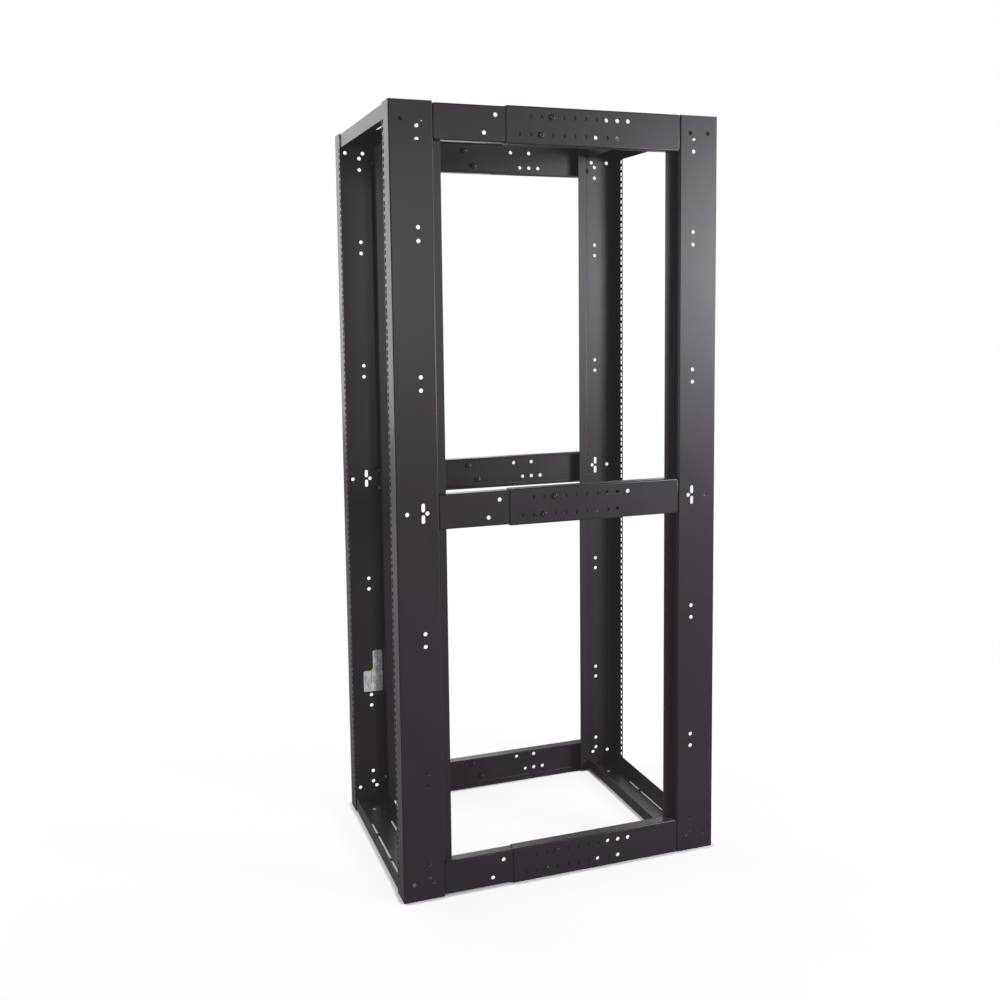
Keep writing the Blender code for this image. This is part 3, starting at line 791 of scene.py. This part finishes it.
def join_rings(shape, rings):
    """Faces between each ring and the next."""
    for first, second in zip(rings, rings[1:]):
        for i, vert in enumerate(first):
            following = (i + 1) % len(first)
            shape.faces.new((vert, first[following], second[following], second[i]))


def thread_rings(shape, start, end):
    """Rings of a real helical thread up the Z axis, faded in at both ends."""
    rings = []
    count = round((end - start) / THREAD_PITCH * THREAD_STEPS)
    for row in range(count + 1):
        height = start + (end - start) * row / count
        fade = min(1.0, min(row, count - row) / THREAD_STEPS)

        def radius_at(angle, height=height, fade=fade):
            turn = (height / THREAD_PITCH - angle / (2 * math.pi)) % 1.0
            return BOLT_RADIUS - THREAD_CLEARANCE - THREAD_DEPTH * abs(2 * turn - 1) * fade

        rings.append(add_ring(shape, radius_at, height))
    return rings


def bolt_mesh(grip):
    """A button-head bolt down the Z axis: underside of the head at Z = 0, hexagon socket on top."""
    stem = grip + NUT_HEIGHT + THREAD_BEYOND_NUT
    shape = bmesh.new()
    rings = [add_ring(shape, lambda angle: BOLT_RADIUS - TIP_TAPER, -stem)]
    rings += thread_rings(shape, -stem + THREAD_DEPTH, -SHEET / 2)
    rings.append(add_ring(shape, lambda angle: BOLT_RADIUS, -SHEET / 4))
    rings.append(add_ring(shape, lambda angle: BOLT_RADIUS, 0))
    rings.append(add_ring(shape, lambda angle: HEAD_RADIUS - BROKEN_EDGE, 0))
    dome_base = 2 * BROKEN_EDGE
    for step in range(DOME_STEPS + 1):
        angle = step / DOME_STEPS * math.pi / 2
        radius = HEAD_FLAT_RADIUS + (HEAD_RADIUS - HEAD_FLAT_RADIUS) * math.cos(angle)
        height = dome_base + (HEAD_HEIGHT - dome_base) * math.sin(angle)
        rings.append(add_ring(shape, lambda angle, radius=radius: radius, height))

    def socket(angle):
        return hexagon_radius(SOCKET_ACROSS_FLATS, angle)

    rings.append(add_ring(shape, lambda angle: socket(angle) + BROKEN_EDGE, HEAD_HEIGHT))
    rings.append(add_ring(shape, socket, HEAD_HEIGHT - BROKEN_EDGE))
    rings.append(add_ring(shape, socket, HEAD_HEIGHT - SOCKET_DEPTH))
    cone = HEAD_HEIGHT - SOCKET_CONE_DEPTH
    rings.append(add_ring(shape, lambda angle: SOCKET_CONE_SCALE * socket(angle), cone))
    join_rings(shape, rings)
    shape.faces.new(rings[0])
    shape.faces.new(rings[-1])
    return finish_round(shape, "bolt")


def nut_mesh():
    """A hexagon nut down the Z axis, chamfered at both faces, with its seat at Z = 0."""
    bore = BOLT_RADIUS + TOUCH_GAP / 2
    washer_face = WASHER_FACE_SCALE * NUT_ACROSS_FLATS / 2

    def section(drop):
        """The hexagon where it is cut back by a cone that leaves the flats at the washer face."""
        limit = washer_face + drop * NUT_CONE_SLOPE
        return lambda angle: min(hexagon_radius(NUT_ACROSS_FLATS, angle), limit)

    drops = [0, NUT_CHAMFER / 3, 2 * NUT_CHAMFER / 3, NUT_CHAMFER]
    shape = bmesh.new()
    rings = [add_ring(shape, section(drop), -drop) for drop in drops]
    rings += [add_ring(shape, section(drop), drop - NUT_HEIGHT) for drop in drops[::-1]]
    rings.append(add_ring(shape, lambda angle: bore + 2 * BROKEN_EDGE, -NUT_HEIGHT))
    rings.append(add_ring(shape, lambda angle: bore, -NUT_HEIGHT + 2 * BROKEN_EDGE))
    rings.append(add_ring(shape, lambda angle: bore, -2 * BROKEN_EDGE))
    rings.append(add_ring(shape, lambda angle: bore + 2 * BROKEN_EDGE, 0))
    join_rings(shape, rings + rings[:1])
    return finish_round(shape, "nut")


def finish_round(shape, name):
    """A finished mesh with smooth rounds and crisp edges."""
    mesh = finish_mesh(shape, name)
    mesh.shade_smooth()
    mesh.set_sharp_from_angle(angle=SMOOTH_ANGLE)
    return mesh


# --------------------------------------------------------------------------------------- placing pieces


def add_piece(name, mesh, material, place, body):
    """A piece on a body, with the given material in a slot where its mesh has none yet."""
    piece = bpy.data.objects.new(name, mesh)
    if not mesh.materials:
        mesh.materials.append(material)
    bpy.context.scene.collection.objects.link(piece)
    piece.matrix_world = place
    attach(piece, body)
    return piece


def stand_for(node, mesh, material, place):
    """A finer piece in a CAD node's place, on its body and with its finish."""
    piece = add_piece(node + "_fine", mesh, material, place, BODY_OF[node])
    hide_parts(node)


def add_posts(coat):
    """Four posts that are one part, turned half a turn about a different axis each time."""
    mesh = post_mesh()
    turns = {
        ("front", "right"): UPRIGHT,
        ("front", "left"): HALF_TURN["Y"],
        ("rear", "right"): HALF_TURN["X"],
        ("rear", "left"): HALF_TURN["Z"],
    }
    for (end, side), turn in turns.items():
        face = -FACE_Y if end == "front" else FACE_Y
        corner = Matrix.Translation((SIDES[side] * SIDE_X, face, RACK_HEIGHT / 2))
        stand_for(f"{end}_post_{side}", mesh, coat, corner @ turn)


def add_crossbars(coat):
    """Four crossbars nested between the posts, lips towards the middle height of the rack."""
    meshes = {"top": crossbar_mesh(anchored=False), "bottom": crossbar_mesh(anchored=True)}
    turns = {
        ("front", "bottom"): UPRIGHT,
        ("front", "top"): HALF_TURN["Y"],
        ("rear", "bottom"): HALF_TURN["Z"],
        ("rear", "top"): HALF_TURN["X"],
    }
    for (end, level), turn in turns.items():
        face = NEST_INSET - FACE_Y if end == "front" else FACE_Y - NEST_INSET
        height = RACK_HEIGHT if level == "top" else 0
        place = Matrix.Translation((0, face, height)) @ turn
        stand_for(f"{end}_crossbar_{level}", meshes[level], coat, place)


def side_turn(side):
    """A left-hand rail is the right-hand one, turned half a turn about the depth axis."""
    return UPRIGHT if side == "right" else HALF_TURN["Y"]


def add_rails(coat):
    """Three inner rails and three sleeves on each side."""
    inner = inner_rail_mesh()
    sleeve = sleeve_rail_mesh()
    post_end = FACE_Y - RAIL_END
    for side, sign in SIDES.items():
        for level, height in RAIL_LEVELS.items():
            turn = side_turn(side)
            place = Matrix.Translation((sign * (SIDE_X - NEST_INSET), -post_end, height)) @ turn
            stand_for(f"inner_rail_{side}_{level}", inner, coat, place)
            place = Matrix.Translation((sign * SIDE_X, post_end, height)) @ turn
            stand_for(f"sleeve_rail_{side}_{level}", sleeve, coat, place)


def add_depth_fasteners(zinc):
    """The bolts and nuts that lock the depth, where the CAD has them, each turned a little by itself."""
    bolt = bolt_mesh(2 * SHEET + 3 * TOUCH_GAP)
    nut = nut_mesh()
    count = 0
    for side, sign in SIDES.items():
        outward = Matrix.Rotation(sign * math.pi / 2, 4, "Y")
        for level in RAIL_LEVELS:
            for row in "ab":
                low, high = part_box(f"depth_bolt_{side}_{level}_{row}")
                middle = (low + high) / 2
                spin = Matrix.Rotation(count * DEPTH_BOLT_SPIN, 4, "Z")
                head = Matrix.Translation((sign * (SIDE_X + TOUCH_GAP), middle.y, middle.z))
                stand_for(f"depth_bolt_{side}_{level}_{row}", bolt, zinc, head @ outward @ spin)
                low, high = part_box(f"depth_nut_{side}_{level}_{row}")
                seat = high.x if side == "right" else low.x
                spin = Matrix.Rotation(count * DEPTH_NUT_SPIN, 4, "Z")
                place = Matrix.Translation((seat, middle.y, middle.z))
                stand_for(f"depth_nut_{side}_{level}_{row}", nut, zinc, place @ outward @ spin)
                count += 1


def add_tab_fasteners(zinc):
    """Two bolts and nuts hold each rail's tab to its post.  At the ends they also pass a crossbar's lip."""
    nut = nut_mesh()
    head_seat = RAIL_END + SHEET + TOUCH_GAP
    nut_seats = {False: POST_DEPTH - SHEET - TOUCH_GAP, True: POST_DEPTH - 2 * SHEET - 2 * TOUCH_GAP}
    bolts = {through_lip: bolt_mesh(head_seat - seat) for through_lip, seat in nut_seats.items()}
    ends = {"front": ("front_frame", -1), "rear": ("rear_frame", 1)}
    count = 0
    for end, (body, way) in ends.items():
        inward = Matrix.Rotation(way * math.pi / 2, 4, "X")
        for side, sign in SIDES.items():
            across = sign * (SIDE_X - TAB_HOLE_INSET)
            for level, height in RAIL_LEVELS.items():
                for row, offset in (("upper", TAB_HOLE_OFFSET), ("lower", -TAB_HOLE_OFFSET)):
                    through_lip = (level, row) in (("top", "upper"), ("bottom", "lower"))
                    spin = Matrix.Rotation(count * TAB_BOLT_SPIN, 4, "Z")
                    name = f"{end}_{side}_{level}_{row}"
                    place = Matrix.Translation((across, way * (FACE_Y - head_seat), height + offset))
                    place = place @ inward @ spin
                    add_piece(f"tab_bolt_{name}", bolts[through_lip], zinc, place, body)
                    seat = way * (FACE_Y - nut_seats[through_lip])
                    place = Matrix.Translation((across, seat, height + offset)) @ inward @ spin
                    add_piece(f"tab_nut_{name}", nut, zinc, place, body)
                    count += 1


# ---------------------------------------------------------------------------------------------- labels


def label_mesh(low, high):
    """A thin label with rounded corners that fills a CAD label's box."""
    shape = bmesh.new()
    outline = rounded_box_outline((low.y, low.z), (high.y, high.z), LABEL_CORNER, LABEL_CORNER_STEPS)
    add_prism(shape, outline, low.x, high.x, along_x)
    return finish_mesh(shape, "label")


def add_labels(foil, paper):
    """The two silver labels in the front left post, and the green dot at the corner where they meet."""
    for node in ("rating_label", "serial_label"):
        stand_for(node, label_mesh(*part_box(node)), foil, UPRIGHT)
    low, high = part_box("serial_label")
    centre = (low.y + DOT_OVERLAP, low.z - DOT_OVERLAP)
    shape = bmesh.new()
    outline = round_outline(centre, DOT_DIAMETER, ROUND_SIDES)
    add_prism(shape, outline, high.x + DOT_THICKNESS, high.x + 2 * DOT_THICKNESS, along_x)
    mesh = finish_mesh(shape, "dot")
    add_piece("inspection_dot", mesh, paper, UPRIGHT, "front_frame")


# ----------------------------------------------------------------------------------------------- stage


def add_floor():
    """Pale paper under the rack.  As the camera sees it, it goes over into the white studio around it."""
    mesh = bpy.data.meshes.new("floor")
    half = FLOOR_SIZE / 2
    corners = [(-half, -half), (half, -half), (half, half), (-half, half)]
    mesh.from_pydata([(x, y, -FLOOR_DROP) for x, y in corners], [], [(0, 1, 2, 3)])
    material = bpy.data.materials.new("pale_floor")
    nodes = Nodes(material)
    place = nodes.add("TexCoord").outputs["Object"]
    cloud = nodes.noise(place, 1.5, 3.0)
    seen = nodes.span(cloud, 0.0, 1.0, FLOOR_SEEN - FLOOR_MOTTLE, FLOOR_SEEN + FLOOR_MOTTLE)
    direct = nodes.add("LightPath").outputs["Is Camera Ray"]
    tone = nodes.add("MapRange", Value=direct, To_Min=FLOOR_BOUNCE, To_Max=seen).outputs["Result"]
    nodes.feed(nodes.shader.inputs["Base Color"], tone)
    nodes.shader.inputs["Roughness"].default_value = 0.9
    nodes.shader.inputs["Specular IOR Level"].default_value = 0.2
    distance = nodes.add("VectorMath", {"operation": "LENGTH"}, i0=place).outputs["Value"]
    open_sky = nodes.add("AmbientOcclusion", {"samples": 8}, Distance=CONTACT_REACH).outputs["AO"]
    fade = nodes.math("MULTIPLY", nodes.span(distance, *FLOOR_FADE, FLOOR_GLOW, 1.0), direct)
    fade = nodes.math("MULTIPLY", fade, nodes.span(open_sky, *CONTACT_SHADE))
    glow = nodes.add("Emission", Color=WHITE, Strength=BACKGROUND_SEEN)
    paper = nodes.add("MixShader", i0=fade, i1=nodes.shader.outputs["BSDF"], i2=glow.outputs["Emission"])
    nodes.feed(nodes.tree.nodes["Material Output"].inputs["Surface"], paper.outputs["Shader"])
    mesh.materials.append(material)
    floor = bpy.data.objects.new("floor", mesh)
    bpy.context.scene.collection.objects.link(floor)


def add_world():
    """White studio walls all round."""
    world = bpy.data.worlds.new("studio")
    bpy.context.scene.world = world
    world.use_nodes = True
    tree = world.node_tree
    background = tree.nodes["Background"]
    background.inputs["Color"].default_value = WHITE
    direct = tree.nodes.new("ShaderNodeLightPath").outputs["Is Camera Ray"]
    strength = tree.nodes.new("ShaderNodeMapRange")
    strength.inputs["To Min"].default_value = AMBIENT
    strength.inputs["To Max"].default_value = BACKGROUND_SEEN
    tree.links.new(direct, strength.inputs["Value"])
    tree.links.new(strength.outputs["Result"], background.inputs["Strength"])


def add_softboxes():
    """Soft rectangular lights, which the camera doesn't see."""
    for name, (place, target, size, power, colour) in SOFTBOXES.items():
        data = bpy.data.lights.new(name, "AREA")
        data.shape = "RECTANGLE"
        data.size, data.size_y = size
        data.energy = power
        data.color = colour
        light = bpy.data.objects.new(name, data)
        light.location = place
        light.rotation_euler = (Vector(target) - Vector(place)).to_track_quat("-Z", "Y").to_euler()
        light.visible_camera = False
        bpy.context.scene.collection.objects.link(light)


def set_tones():
    """Plain tones, with the faint veil that a white studio throws over the dark parts of a photo."""
    settings = bpy.context.scene.view_settings
    settings.view_transform = "Standard"
    settings.use_curve_mapping = True
    settings.curve_mapping.black_level = [-veil for veil in VEILING_GLARE]
    settings.curve_mapping.update()


def main():
    add_camera()
    coat = powder_coat()
    zinc = black_zinc()
    add_posts(coat)
    add_crossbars(coat)
    add_rails(coat)
    add_depth_fasteners(zinc)
    add_tab_fasteners(zinc)
    add_labels(silver_foil(), green_paper())
    add_floor()
    add_world()
    add_softboxes()
    set_tones()


main()
